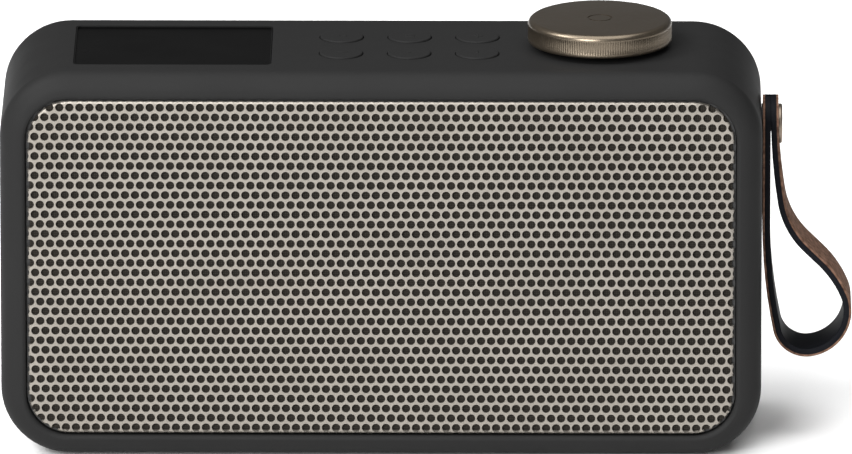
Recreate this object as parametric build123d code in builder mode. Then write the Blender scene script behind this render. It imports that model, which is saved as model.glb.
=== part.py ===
from build123d import *

import os
from math import cos, radians, sin

# Portable digital radio: a soft-touch case with a punched metal grille, a turning and
# pressing metal knob, six buttons, a smoked display window, a leather carrying strap on
# one side and a telescopic aerial on the back.
#
# +X is to the right, +Y to the back and +Z up. The origin is the middle of the underside
# of the rubber pad that the radio stands on. All sizes are in millimetres.

os.makedirs("parts", exist_ok=True)

# ---------------------------------------------------------------- driving dimensions

# Case
case_width = 190.0
case_height = 99.0
case_depth = 56.0
case_corner = 17.1          # corner radius of the front outline
front_round = 5.2           # rounding of the front edge
rear_round = 4.5            # rounding of the rear edge
wall = 2.6
cover_depth = 5.5           # depth of the rear cover, from the seam to the back
lip_length = 1.0            # tongue of the rear cover that enters the housing
lip_thickness = 1.4

# Grille, cloth and baffle, from the front backwards
bezel = 6.4                 # width of the case's rim above and beside the grille
bezel_bottom = 5.55         # and below it
opening_round = 1.0
grille_recess = 0.8
grille_thickness = 1.0
grille_round = 0.3
cloth_thickness = 0.5
baffle_thickness = 2.5
ledge_width = 6.7
ledge_thickness = 2.5

# Speakers
driver_diameter = 58.0
driver_edge = 1.0           # room between a driver's flange and the side of the ledge
driver_flange = 4.0         # width of the flange around the baffle's hole
driver_depth = 19.0         # from the flange's front to the back of the frame
magnet_depth = 6.0
cone_stroke = 1.0
port_radius = 8.0
port_length = 24.0
port_wall = 1.2

# Controls on the top
control_line = 0.5          # their middle, measured back from the middle of the case
window_inset = 18.2         # from the case's left side to the window
window_length = 49.4
window_width = 36.7
window_corner = 1.5
window_recess = 0.5
window_thickness = 1.6
window_ledge = 1.7
button_diameter = 10.8
button_proud = 0.4
button_travel = 0.4
button_pitch_x = 17.0
button_pitch_y = 15.2
button_start = 17.3         # from the window's right end to the first buttons
knob_diameter = 36.0
knob_height = 5.8
knob_gap = 1.5              # between the case and the underside of the knob
knob_inset = 40.5           # from the case's right side to the knob's axis
knob_round = 1.5
knob_wall = 1.6
knob_travel = 0.5
shaft_radius = 3.0

# Strap and its screw, on the right side
strap_width = 14.5
strap_thickness = 1.95
strap_drop = 20.0           # from the case's top to the screw
strap_straight = 32.2       # straight stretch of the inner layer, from its top end
strap_bends = ((129.5, 11.95), (7.54, 88.75), (10.86, 102.95), (26.8, 22.1))  # radius, degrees
strap_back_radius = 21.7    # bend that turns the outer layer back up
strap_lean_radius = 147.0   # gentle bend that lays it against the inner one
strap_lean = 9.0            # degrees that the gentle bend turns
strap_layer_gap = 0.05
strap_screw_radius = 2.0
strap_head_radius = 5.0
strap_head_height = 0.9
washer_thickness = 0.3
strap_hole_play = 0.1       # radial clearance of the strap on its screw
strap_nut_side = 12.0
strap_nut_thickness = 3.0
strap_nut_seat = 0.8        # flat inside the side wall that the nut lies on

# Aerial, on the back
mast_radius = 3.0
mast_wall = 0.42
mast_play = 0.08            # radial running clearance between two tubes
mast_sections = 5
mast_extension = 96.0       # how far each tube pulls out
mast_overlap = 20.0         # what stays inside the next tube when it's out
mast_step = 4.0             # how far each tube stands out of the one around it
mast_nest = 2.2             # how much deeper each tube starts than the one around it
mast_end = 2.0              # closed end of the first tube
tip_radius = 2.4
tip_length = 5.0
neck_end = 7.5              # from the pivot to the start of the first tube
eye_margin = 0.4            # how much larger the knuckle's eye is than the tube
eye_half = 2.5              # half the eye's height
eye_room = 0.5              # between the eye and the swivel's disc
ear_thickness = 1.6
pin_radius = 1.25
disc_thickness = 1.5
mount_radius = 7.5
mount_thickness = 1.4
stud_radius = 3.0
rest_gap_below = 0.3        # between the folded aerial and its rest
rest_width = 6.0
rest_thickness = 2.0
aerial_inset = 23.0         # from the case's right side to the pivot
aerial_drop = 16.0          # from the case's top to the pivot

# Boards, battery and sockets
board_thickness = 1.6
keypad_drop = 6.8           # from the inside of the top wall to the keypad board
main_board_width = 80.0
main_board_height = 66.0
board_post_inset = 4.0
board_post_radius = 3.0
board_edge = 6.0            # from the inside of the left wall to the main board
board_standoff = 10.8       # from the rear cover to the main board
cell_radius = 9.2
cell_length = 65.0
tray_wall = 1.5
jack_radius = 1.8
jack_depth = 12.0
usb_width = 9.0
usb_height = 3.2

# Pad under the case
pad_length = 150.0
pad_width = 36.0
pad_stand = 1.0             # how far it holds the case off the table
pad_seat = 0.6              # how far it sits in the case

# Clearances
panel_gap = 0.5             # grille plate to the case
fit_gap = 0.2               # pieces that drop into one another
button_gap = 0.2
running_gap = 0.06          # shafts and pins that turn in their holes
screw_gap = 0.05
rest_gap = 0.1              # moving piece at rest to its stop

# ---------------------------------------------------------------- places worked out

top_z = pad_stand + case_height
middle_z = pad_stand + case_height / 2
side_x = case_width / 2
front_y = -case_depth / 2
rear_y = case_depth / 2
seam_y = rear_y - cover_depth
under_top_z = top_z - wall

inner_width = case_width - 2 * wall
inner_height = case_height - 2 * wall
inner_corner = case_corner - wall

opening_width = case_width - 2 * bezel
opening_height = case_height - bezel - bezel_bottom
opening_drop = (bezel - bezel_bottom) / 2       # below the middle of the case
opening_corner = case_corner - bezel
grille_width = opening_width - 2 * panel_gap
grille_height = opening_height - 2 * panel_gap
grille_corner = opening_corner - panel_gap

grille_y = front_y + grille_recess
cloth_y = grille_y + grille_thickness
baffle_y = cloth_y + cloth_thickness
ledge_y = baffle_y + baffle_thickness
ledge_back_y = ledge_y + ledge_thickness
ledge_hole_width = opening_width - 2 * ledge_width
ledge_hole_height = case_height - 2 * bezel - 2 * ledge_width

flange_radius = driver_diameter / 2
hole_radius = flange_radius - driver_flange
driver_x = ledge_hole_width / 2 - driver_edge - flange_radius

window_x = -side_x + window_inset + window_length / 2
button_x = -side_x + window_inset + window_length + button_start
knob_x = side_x - knob_inset
button_columns = (
    ("left", button_x),
    ("middle", button_x + button_pitch_x),
    ("right", button_x + 2 * button_pitch_x),
)
button_rows = (
    ("front", control_line - button_pitch_y / 2),
    ("back", control_line + button_pitch_y / 2),
)
button_spots = [(x, y) for _, x in button_columns for _, y in button_rows]

strap_z = top_z - strap_drop

aerial_x = side_x - aerial_inset
aerial_z = top_z - aerial_drop
mast_tube = mast_extension + mast_overlap
disc_y = rear_y + mount_thickness + rest_gap
eye_radius = mast_radius + eye_margin
mast_y = disc_y + disc_thickness + eye_room + eye_radius
rest_x = aerial_x - neck_end - mast_tube + rest_width

# Corner posts that take the rear cover's screws
post_radius = 3.5
post_inset = 11.5
post_x = side_x - post_inset
post_z = case_height / 2 - post_inset
post_spots = [(sx * post_x, sz * post_z) for sx in (-1, 1) for sz in (-1, 1)]
rib_length = 9.0
rib_width = 2.0


def upright(y):
    """Plane across the case at that depth; local y is up, and its normal looks forwards."""
    return Plane(origin=(0, y, middle_z), x_dir=(1, 0, 0), z_dir=(0, -1, 0))


def beside(x, y, z):
    """Plane across the X axis at that point; local x is backwards and local y is up."""
    return Plane(origin=(x, y, z), x_dir=(0, 1, 0), z_dir=(1, 0, 0))


def save(piece, name):
    """Labels the finished piece and writes it to its own file."""
    piece.part.label = name
    export_step(piece.part, f"parts/{name}.step")


# ---------------------------------------------------------------- housing

# Screws of the housing's fittings
baffle_screw_radius = 0.95
baffle_screw_spots = [
    (sx * (ledge_hole_width + ledge_width) / 2, 0) for sx in (-1, 1)
] + [
    (sx * driver_x, sz * (ledge_hole_height + ledge_width) / 2)
    for sx in (-1, 1)
    for sz in (-1, 1)
]
cover_screw_radius = 1.25
cover_screw_length = 14.0

# Bosses under the top wall
frame_margin = 2.0          # the window's frame around the window
frame_depth = 1.2
window_hole_length = window_length - 2 * window_ledge
window_hole_width = window_width - 2 * window_ledge
boss_radius = 2.2
board_screw_radius = 0.9
board_screw_length = 4.5
board_head_radius = 1.8
board_head_height = 1.3
display_board_z = under_top_z - frame_depth - 2.0
keypad_z = under_top_z - keypad_drop
display_boss_x = window_length / 2 + 0.6
display_boss_y = window_width / 2 + 0.25
display_bosses = [
    (window_x + sx * display_boss_x, control_line + sy * display_boss_y)
    for sx in (-1, 1)
    for sy in (-1, 1)
]
keypad_left = button_x - 9.7
keypad_right = knob_x + 9.0
keypad_bosses = [
    (x, control_line + sy * 13.5) for x in (keypad_left, keypad_right) for sy in (-1, 1)
]
bushing_radius = 3.5

with BuildPart() as housing:
    with BuildSketch(upright(front_y)):
        RectangleRounded(case_width, case_height, case_corner)
    extrude(amount=-(seam_y - front_y))
    fillet(housing.faces().sort_by(Axis.Y)[0].edges(), front_round)
    # The hollow behind the ledge
    with BuildSketch(upright(seam_y)):
        RectangleRounded(inner_width, inner_height, inner_corner)
    extrude(amount=seam_y - ledge_back_y, mode=Mode.SUBTRACT)
    # The grille's opening, and the smaller one through the ledge behind it
    with BuildSketch(upright(front_y)):
        with Locations((0, -opening_drop)):
            RectangleRounded(opening_width, opening_height, opening_corner)
    extrude(amount=-(ledge_y - front_y), mode=Mode.SUBTRACT)
    fillet(housing.faces().sort_by(Axis.Y)[0].inner_wires()[0].edges(), opening_round)
    with BuildSketch(upright(ledge_y)):
        RectangleRounded(ledge_hole_width, ledge_hole_height, opening_corner - ledge_width / 2)
    extrude(amount=-ledge_thickness, mode=Mode.SUBTRACT)
    # Corner posts, each tied to the wall by a rib
    with BuildSketch(upright(seam_y)):
        with Locations(*post_spots):
            Circle(post_radius)
        for px, pz in post_spots:
            turn = 45 if px * pz > 0 else -45
            reach = rib_length / 2 * 0.7071
            with Locations((px + reach * (1 if px > 0 else -1), pz + reach * (1 if pz > 0 else -1))):
                Rectangle(rib_length, rib_width, rotation=turn)
        RectangleRounded(
            inner_width + wall, inner_height + wall, inner_corner + wall / 2, mode=Mode.INTERSECT
        )
    extrude(amount=seam_y - ledge_back_y)
    with BuildSketch(upright(seam_y)):
        with Locations(*post_spots):
            Circle(cover_screw_radius + screw_gap)
    extrude(amount=cover_screw_length, mode=Mode.SUBTRACT)
    # Holes for the baffle's screws
    with BuildSketch(upright(ledge_y)):
        with Locations(*baffle_screw_spots):
            Circle(baffle_screw_radius + screw_gap)
    extrude(amount=-ledge_thickness, mode=Mode.SUBTRACT)
    # Frame and bosses under the top wall
    with BuildSketch(Plane.XY.offset(under_top_z)):
        with Locations((window_x, control_line)):
            Rectangle(window_length + 2 * frame_margin, window_width + 2 * frame_margin)
    extrude(amount=-frame_depth)
    with BuildSketch(Plane.XY.offset(under_top_z)):
        with Locations(*display_bosses):
            Circle(boss_radius)
    extrude(amount=-(under_top_z - display_board_z))
    with BuildSketch(Plane.XY.offset(under_top_z)):
        with Locations(*keypad_bosses):
            Circle(boss_radius)
    extrude(amount=-keypad_drop)
    with BuildSketch(Plane.XY.offset(display_board_z)):
        with Locations(*display_bosses):
            Circle(board_screw_radius + screw_gap)
    extrude(amount=board_screw_length, mode=Mode.SUBTRACT)
    with BuildSketch(Plane.XY.offset(keypad_z)):
        with Locations(*keypad_bosses):
            Circle(board_screw_radius + screw_gap)
    extrude(amount=board_screw_length, mode=Mode.SUBTRACT)
    # The window's seat, and the opening under it
    with BuildSketch(Plane.XY.offset(top_z)):
        with Locations((window_x, control_line)):
            RectangleRounded(window_length, window_width, window_corner)
    extrude(amount=-(window_recess + window_thickness), mode=Mode.SUBTRACT)
    with BuildSketch(Plane.XY.offset(top_z)):
        with Locations((window_x, control_line)):
            Rectangle(window_hole_length, window_hole_width)
    extrude(amount=-(wall + frame_depth), mode=Mode.SUBTRACT)
    # Holes for the buttons and for the knob's shaft
    with BuildSketch(Plane.XY.offset(top_z)):
        with Locations(*button_spots):
            Circle(button_diameter / 2 + button_gap)
        with Locations((knob_x, control_line)):
            Circle(bushing_radius + fit_gap)
    extrude(amount=-wall, mode=Mode.SUBTRACT)
    # The strap nut's seat, and the screw's hole through it and the right side
    with BuildSketch(beside(side_x - wall / 2, control_line, strap_z)):
        Rectangle(strap_nut_side, strap_nut_side)
    extrude(amount=-(wall / 2 + strap_nut_seat))
    with BuildSketch(beside(side_x, control_line, strap_z)):
        Circle(strap_screw_radius + screw_gap)
    extrude(amount=-(wall + strap_nut_seat), mode=Mode.SUBTRACT)
    # The pad's seat in the underside
    with BuildSketch(Plane.XY.offset(pad_stand)):
        RectangleRounded(pad_length + 2 * rest_gap, pad_width + 2 * rest_gap, 6.0 + rest_gap)
    extrude(amount=pad_seat, mode=Mode.SUBTRACT)
save(housing, "housing")

# ---------------------------------------------------------------- rear cover

cover_inside_y = rear_y - wall
cover_head_radius = 2.4
cover_head_height = 1.5
board_x = -inner_width / 2 + board_edge + main_board_width / 2
board_y = cover_inside_y - board_standoff        # back face of the main board
board_post_x = main_board_width / 2 - board_post_inset
board_post_z = main_board_height / 2 - board_post_inset
board_posts = [
    (board_x + sx * board_post_x, sz * board_post_z) for sx in (-1, 1) for sz in (-1, 1)
]
jack_x = board_x + 16.0
usb_x = board_x - 10.0
socket_z = -main_board_height / 2 + 10.0         # from the case's middle height
jack_nose_radius = 3.6

with BuildPart() as rear_cover:
    with BuildSketch(upright(rear_y)):
        RectangleRounded(case_width, case_height, case_corner)
    extrude(amount=cover_depth)
    fillet(rear_cover.faces().sort_by(Axis.Y)[-1].edges(), rear_round)
    with BuildSketch(upright(cover_inside_y)):
        RectangleRounded(inner_width, inner_height, inner_corner)
    extrude(amount=cover_depth - wall, mode=Mode.SUBTRACT)
    # Tongue that enters the housing, open at the corner posts
    with BuildSketch(upright(cover_inside_y)):
        RectangleRounded(inner_width - 2 * fit_gap, inner_height - 2 * fit_gap, inner_corner - fit_gap)
        RectangleRounded(
            inner_width - 2 * fit_gap - 2 * lip_thickness,
            inner_height - 2 * fit_gap - 2 * lip_thickness,
            inner_corner - fit_gap - lip_thickness,
            mode=Mode.SUBTRACT,
        )
        for px, pz in post_spots:
            with Locations((px + (5 if px > 0 else -5), pz + (5 if pz > 0 else -5))):
                Rectangle(20, 20, mode=Mode.SUBTRACT)
    extrude(amount=cover_inside_y - seam_y + lip_length)
    # Short posts that meet the housing's, and the main board's posts
    with BuildSketch(upright(cover_inside_y)):
        with Locations(*post_spots):
            Circle(post_radius)
    extrude(amount=cover_inside_y - seam_y)
    with BuildSketch(upright(cover_inside_y)):
        with Locations(*board_posts):
            Circle(board_post_radius)
    extrude(amount=board_standoff)
    with BuildSketch(upright(board_y)):
        with Locations(*board_posts):
            Circle(board_screw_radius + screw_gap)
    extrude(amount=-board_screw_length, mode=Mode.SUBTRACT)
    # Rest that the folded aerial lies above
    with BuildSketch(upright(rear_y)):
        with Locations((rest_x, aerial_z - middle_z - mast_radius - rest_gap_below)):
            Rectangle(rest_width, rest_thickness, align=(Align.CENTER, Align.MAX))
    extrude(amount=-(mast_y - rear_y))
    # Screw holes, socket holes and the aerial's hole
    with BuildSketch(upright(rear_y)):
        with Locations(*post_spots):
            Circle(cover_screw_radius + fit_gap)
    extrude(amount=cover_depth, mode=Mode.SUBTRACT)
    with BuildSketch(upright(rear_y)):
        with Locations(*post_spots):
            Circle(cover_head_radius + fit_gap)
    extrude(amount=cover_head_height + fit_gap, mode=Mode.SUBTRACT)
    with BuildSketch(upright(rear_y)):
        with Locations((jack_x, socket_z)):
            Circle(jack_nose_radius + fit_gap)
        with Locations((usb_x, socket_z)):
            RectangleRounded(usb_width + 2 * fit_gap, usb_height + 2 * fit_gap, usb_height / 2)
        with Locations((aerial_x, aerial_z - middle_z)):
            Circle(stud_radius + running_gap)
    extrude(amount=wall, mode=Mode.SUBTRACT)
save(rear_cover, "rear_cover")

with BuildPart() as rear_cover_screws:
    with BuildSketch(upright(rear_y - fit_gap)):
        with Locations(*post_spots):
            Circle(cover_head_radius)
    extrude(amount=cover_head_height)
    with BuildSketch(upright(rear_y - fit_gap - cover_head_height)):
        with Locations(*post_spots):
            Circle(cover_screw_radius)
    extrude(amount=cover_screw_length)
    with BuildSketch(upright(rear_y - fit_gap)):
        with Locations(*post_spots):
            Rectangle(2.8, 0.6)
            Rectangle(0.6, 2.8)
    extrude(amount=0.8, mode=Mode.SUBTRACT)
save(rear_cover_screws, "rear_cover_screws")

# ---------------------------------------------------------------- grille and baffle

with BuildPart() as grille_plate:
    with BuildSketch(upright(grille_y)):
        with Locations((0, -opening_drop)):
            RectangleRounded(grille_width, grille_height, grille_corner)
    extrude(amount=-grille_thickness)
    fillet(grille_plate.faces().sort_by(Axis.Y)[0].edges(), grille_round)
save(grille_plate, "grille_plate")

with BuildPart() as grille_cloth:
    with BuildSketch(upright(cloth_y)):
        with Locations((0, -opening_drop)):
            RectangleRounded(grille_width - 1, grille_height - 1, grille_corner - 0.5)
    extrude(amount=-cloth_thickness)
save(grille_cloth, "grille_cloth")

with BuildPart() as front_baffle:
    with BuildSketch(upright(baffle_y)):
        with Locations((0, -opening_drop)):
            RectangleRounded(
                opening_width - 2 * fit_gap, opening_height - 2 * fit_gap, opening_corner - fit_gap
            )
        with Locations((-driver_x, 0), (driver_x, 0)):
            Circle(hole_radius, mode=Mode.SUBTRACT)
        Circle(port_radius + port_wall, mode=Mode.SUBTRACT)
    extrude(amount=-baffle_thickness)
    with BuildSketch(upright(baffle_y)):
        with Locations(*baffle_screw_spots):
            Circle(baffle_screw_radius + fit_gap)
    extrude(amount=-baffle_thickness, mode=Mode.SUBTRACT)
    with BuildSketch(upright(baffle_y)):
        with Locations(*baffle_screw_spots):
            Circle(board_head_radius + fit_gap)
    extrude(amount=-board_head_height, mode=Mode.SUBTRACT)
save(front_baffle, "front_baffle")

with BuildPart() as baffle_screws:
    with BuildSketch(upright(baffle_y + rest_gap)):
        with Locations(*baffle_screw_spots):
            Circle(board_head_radius)
    extrude(amount=-(board_head_height - rest_gap))
    with BuildSketch(upright(baffle_y + board_head_height)):
        with Locations(*baffle_screw_spots):
            Circle(baffle_screw_radius)
    extrude(amount=-(ledge_back_y - baffle_y - board_head_height))
save(baffle_screws, "baffle_screws")

with BuildPart() as bass_port:
    with BuildSketch(upright(baffle_y)):
        Circle(port_radius + port_wall)
        Circle(port_radius, mode=Mode.SUBTRACT)
    extrude(amount=-port_length)
    with BuildSketch(upright(ledge_y)):
        Circle(port_radius + 2 * port_wall + 1)
        Circle(port_radius, mode=Mode.SUBTRACT)
    extrude(amount=-port_wall)
save(bass_port, "bass_port")

# ---------------------------------------------------------------- speaker drivers

flange_thickness = 1.5
roll_width = 4.0
coil_radius = 8.0
magnet_radius = 15.0
frame_radius = magnet_radius + 2.0
frame_back_y = ledge_y + driver_depth
roll_radius = roll_width / 2
cone_radius = hole_radius - 0.4 - roll_width - 0.4
cone_y = ledge_y + 0.6
cone_neck_y = cone_y + 10.0
former_end_y = frame_back_y - flange_thickness - 2 * cone_stroke

for side, x in (("left", -driver_x), ("right", driver_x)):
    profile_plane = Plane(origin=(x, 0, middle_z))
    driver_axis = Axis((x, 0, middle_z), (0, 1, 0))

    with BuildPart() as basket:
        with BuildSketch(profile_plane):
            with BuildLine():
                Polyline(
                    (hole_radius, ledge_y),
                    (flange_radius, ledge_y),
                    (flange_radius, ledge_y + flange_thickness),
                    (hole_radius + 1.0, ledge_y + flange_thickness),
                    (frame_radius, frame_back_y),
                    (0, frame_back_y),
                    (0, frame_back_y - flange_thickness),
                    (frame_radius - 1.0, frame_back_y - flange_thickness),
                    (hole_radius, ledge_y + flange_thickness),
                    close=True,
                )
            make_face()
        revolve(axis=driver_axis)
        # Windows in the frame's cone, above the back plate and below the flange
        with BuildSketch(upright(frame_back_y - 2 * flange_thickness)):
            with Locations((x, 0)):
                with PolarLocations((frame_radius + hole_radius) / 2, 6):
                    Rectangle(hole_radius - frame_radius + 4, 9)
        extrude(amount=driver_depth - 5 * flange_thickness, mode=Mode.SUBTRACT)
    save(basket, f"{side}_driver_basket")

    with BuildPart() as magnet:
        with BuildSketch(upright(frame_back_y)):
            with Locations((x, 0)):
                Circle(magnet_radius)
        extrude(amount=-magnet_depth)
        chamfer(magnet.faces().sort_by(Axis.Y)[-1].edges(), 0.6)
    save(magnet, f"{side}_driver_magnet")

    with BuildPart() as surround:
        with BuildSketch(profile_plane):
            with Locations((hole_radius - 0.2 - roll_radius, ledge_y)):
                Circle(roll_radius)
                Circle(roll_radius - 0.5, mode=Mode.SUBTRACT)
                with Locations((0, roll_radius)):
                    Rectangle(2 * roll_width, 2 * roll_radius, mode=Mode.SUBTRACT)
        revolve(axis=driver_axis)
    save(surround, f"{side}_driver_surround")

    with BuildPart() as cone:
        with BuildSketch(profile_plane):
            with BuildLine():
                Polyline(
                    (cone_radius, cone_y),
                    (cone_radius, cone_y + 0.8),
                    (coil_radius + 0.8, cone_neck_y + 0.8),
                    (coil_radius, cone_neck_y + 0.8),
                    (coil_radius, former_end_y),
                    (coil_radius - 0.8, former_end_y),
                    (coil_radius - 0.8, cone_neck_y - 1.0),
                    (0, cone_neck_y - 3.0),
                    (0, cone_neck_y - 3.8),
                    (coil_radius, cone_neck_y - 1.4),
                    (cone_radius - 1.2, cone_y),
                    close=True,
                )
            make_face()
        revolve(axis=driver_axis)
    save(cone, f"{side}_driver_cone")

# ---------------------------------------------------------------- display

with BuildPart() as display_window:
    with BuildSketch(Plane.XY.offset(top_z - window_recess)):
        with Locations((window_x, control_line)):
            RectangleRounded(
                window_length - 2 * rest_gap, window_width - 2 * rest_gap, window_corner - rest_gap
            )
    extrude(amount=-window_thickness)
save(display_window, "display_window")

with BuildPart() as display_module:
    with BuildSketch(Plane.XY.offset(display_board_z)):
        with Locations((window_x, control_line)):
            Rectangle(window_length + 6, window_width + 5)
        with Locations(*display_bosses):
            Circle(board_screw_radius + fit_gap, mode=Mode.SUBTRACT)
    extrude(amount=-board_thickness)
    with BuildSketch(Plane.XY.offset(display_board_z)):
        with Locations((window_x, control_line)):
            Rectangle(window_hole_length - 4 * fit_gap, window_hole_width - 4 * fit_gap)
    extrude(amount=top_z - window_recess - window_thickness - rest_gap - display_board_z)
save(display_module, "display_module")

# ---------------------------------------------------------------- keypad and encoder

with BuildPart() as keypad_board:
    with BuildSketch(Plane.XY.offset(keypad_z)):
        with Locations(((keypad_left + keypad_right) / 2, control_line)):
            Rectangle(keypad_right - keypad_left + 7, 34)
        with Locations(*keypad_bosses):
            Circle(board_screw_radius + fit_gap, mode=Mode.SUBTRACT)
    extrude(amount=-board_thickness)
save(keypad_board, "keypad_board")

cap_flange_thickness = 1.0
cap_flange_top_z = under_top_z - rest_gap
cap_stem_z = keypad_z + 4.0
switch_body = 6.0
switch_body_height = 2.5

with BuildPart() as tact_switches:
    with BuildSketch(Plane.XY.offset(keypad_z)):
        with Locations(*button_spots):
            Rectangle(switch_body, switch_body)
    extrude(amount=switch_body_height)
    with BuildSketch(Plane.XY.offset(keypad_z + switch_body_height)):
        with Locations(*button_spots):
            Circle(1.6)
    extrude(amount=cap_stem_z - button_travel - rest_gap - keypad_z - switch_body_height)
save(tact_switches, "tact_switches")

for column, x in button_columns:
    for row, y in button_rows:
        with BuildPart() as button:
            with BuildSketch(Plane.XY.offset(cap_flange_top_z)):
                with Locations((x, y)):
                    Circle(button_diameter / 2)
            extrude(amount=top_z + button_proud - cap_flange_top_z)
            fillet(button.faces().sort_by(Axis.Z)[-1].edges(), button_proud * 0.9)
            with BuildSketch(Plane.XY.offset(cap_flange_top_z)):
                with Locations((x, y)):
                    Circle(button_diameter / 2 + 1.0)
            extrude(amount=-cap_flange_thickness)
            with BuildSketch(Plane.XY.offset(cap_flange_top_z - cap_flange_thickness)):
                with Locations((x, y)):
                    Circle(1.5)
            extrude(amount=-(cap_flange_top_z - cap_flange_thickness - cap_stem_z))
        save(button, f"button_{row}_{column}")

encoder_side = 12.4
encoder_floor = 1.0
encoder_hollow_radius = 4.6
bushing_start_z = keypad_z + 5.0
bushing_top_z = top_z + 0.6
plunger_thickness = 1.0
plunger_z = keypad_z + encoder_floor + rest_gap + knob_travel

with BuildPart() as encoder_body:
    with BuildSketch(Plane.XY.offset(keypad_z)):
        with Locations((knob_x, control_line)):
            Rectangle(encoder_side, encoder_side)
    extrude(amount=keypad_drop - fit_gap)
    with BuildSketch(Plane.XY.offset(keypad_z + keypad_drop - fit_gap)):
        with Locations((knob_x, control_line)):
            Circle(bushing_radius)
    extrude(amount=bushing_top_z - keypad_z - keypad_drop + fit_gap)
    with BuildSketch(Plane.XY.offset(keypad_z + encoder_floor)):
        with Locations((knob_x, control_line)):
            Circle(encoder_hollow_radius)
    extrude(amount=bushing_start_z - keypad_z - encoder_floor, mode=Mode.SUBTRACT)
    with BuildSketch(Plane.XY.offset(bushing_start_z)):
        with Locations((knob_x, control_line)):
            Circle(shaft_radius + running_gap)
    extrude(amount=bushing_top_z - bushing_start_z, mode=Mode.SUBTRACT)
save(encoder_body, "encoder_body")

with BuildPart() as encoder_plunger:
    with BuildSketch(Plane.XY.offset(plunger_z)):
        with Locations((knob_x, control_line)):
            Circle(encoder_hollow_radius - 0.4)
    extrude(amount=plunger_thickness)
save(encoder_plunger, "encoder_plunger")

knob_z = top_z + knob_gap
knob_top_z = knob_z + knob_height
shaft_top_z = knob_top_z - knob_wall - 0.4
with BuildPart() as encoder_shaft:
    with BuildSketch(Plane.XY.offset(plunger_z + plunger_thickness)):
        with Locations((knob_x, control_line)):
            Circle(shaft_radius)
    extrude(amount=shaft_top_z - plunger_z - plunger_thickness)
    with BuildSketch(Plane.XY.offset(plunger_z + plunger_thickness)):
        with Locations((knob_x, control_line)):
            Circle(shaft_radius + 0.9)
    extrude(amount=bushing_start_z - rest_gap - plunger_z - plunger_thickness)
save(encoder_shaft, "encoder_shaft")

# ---------------------------------------------------------------- knob

insert_radius = knob_diameter / 2 - knob_wall - 0.5
with BuildPart() as knob:
    with BuildSketch(Plane.XY.offset(knob_z)):
        with Locations((knob_x, control_line)):
            Circle(knob_diameter / 2)
    extrude(amount=knob_height)
    fillet(knob.faces().sort_by(Axis.Z)[-1].edges(), knob_round)
    chamfer(knob.faces().sort_by(Axis.Z)[0].edges(), 0.5)
    with BuildSketch(Plane.XY.offset(knob_z)):
        with Locations((knob_x, control_line)):
            Circle(insert_radius + screw_gap)
    extrude(amount=knob_height - knob_wall, mode=Mode.SUBTRACT)
    # Plain round dimple in the middle of the top
    with BuildSketch(Plane.XY.offset(knob_top_z)):
        with Locations((knob_x, control_line)):
            Circle(3.0)
            Circle(2.6, mode=Mode.SUBTRACT)
    extrude(amount=-0.15, mode=Mode.SUBTRACT)
save(knob, "knob")

with BuildPart() as knob_insert:
    with BuildSketch(Plane.XY.offset(knob_z + 0.2)):
        with Locations((knob_x, control_line)):
            Circle(insert_radius)
            Circle(bushing_radius + 1.5, mode=Mode.SUBTRACT)
    extrude(amount=knob_height - knob_wall - 0.2)
    with BuildSketch(Plane.XY.offset(bushing_top_z + knob_travel + 2 * rest_gap)):
        with Locations((knob_x, control_line)):
            Circle(bushing_radius + 2)
            Circle(shaft_radius + screw_gap / 2, mode=Mode.SUBTRACT)
    extrude(amount=knob_top_z - knob_wall - bushing_top_z - knob_travel - 2 * rest_gap)
save(knob_insert, "knob_insert")

# ---------------------------------------------------------------- strap

washer_x = side_x + washer_thickness
inner_layer_x = washer_x + strap_thickness / 2
strap_top_z = strap_z + strap_width / 2
outer_layer_x = inner_layer_x + strap_thickness + strap_layer_gap
strap_end_x = outer_layer_x + strap_thickness / 2 + strap_layer_gap

with BuildPart() as leather_strap:
    # Side view of the leather: one band folded into a loop, its two ends side by side
    with BuildSketch(Plane(origin=(0, control_line + strap_width / 2, 0), x_dir=(1, 0, 0), z_dir=(0, -1, 0))):
        with BuildLine() as loop:
            bend = Line((inner_layer_x, strap_top_z), (inner_layer_x, strap_top_z - strap_straight))
            turned = -90.0
            for bend_radius, bend_angle in strap_bends:
                bend = JernArc(bend @ 1, bend % 1, bend_radius, bend_angle)
                turned += bend_angle
            # A straight run, as long as it takes to end beside the inner layer
            heading = radians(turned)
            leaning = radians(90.0 + strap_lean)
            back_x = outer_layer_x + strap_lean_radius * (1 - sin(leaning))
            run_x = back_x + strap_back_radius * (sin(leaning) - sin(heading)) - (bend @ 1).X
            bend = Line(bend @ 1, bend @ 1 + (bend % 1) * (run_x / cos(heading)))
            bend = JernArc(bend @ 1, bend % 1, strap_back_radius, 90.0 + strap_lean - turned)
            bend = JernArc(bend @ 1, bend % 1, strap_lean_radius, -strap_lean)
            Line(bend @ 1, (outer_layer_x, strap_top_z))
            offset(amount=strap_thickness / 2, side=Side.BOTH)
        make_face()
    extrude(amount=strap_width)
    # Round ends about the screw, and the screw's hole
    with BuildSketch(beside(side_x, control_line, strap_z)):
        with Locations((0, strap_width / 2)):
            Rectangle(2 * strap_width, strap_width)
        Circle(strap_width / 2, mode=Mode.SUBTRACT)
        Circle(strap_screw_radius + strap_hole_play)
    extrude(amount=strap_end_x - side_x, mode=Mode.SUBTRACT)
    # The screw's head presses its own seat into the leaning outer layer
    with BuildSketch(beside(strap_end_x - strap_layer_gap / 2, control_line, strap_z)):
        Circle(strap_head_radius + strap_hole_play)
    extrude(amount=strap_head_height, mode=Mode.SUBTRACT)
save(leather_strap, "leather_strap")

with BuildPart() as strap_washer:
    with BuildSketch(beside(side_x, control_line, strap_z)):
        Circle(strap_head_radius)
        Circle(strap_screw_radius + screw_gap, mode=Mode.SUBTRACT)
    extrude(amount=washer_thickness - strap_layer_gap)
save(strap_washer, "strap_washer")

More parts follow.
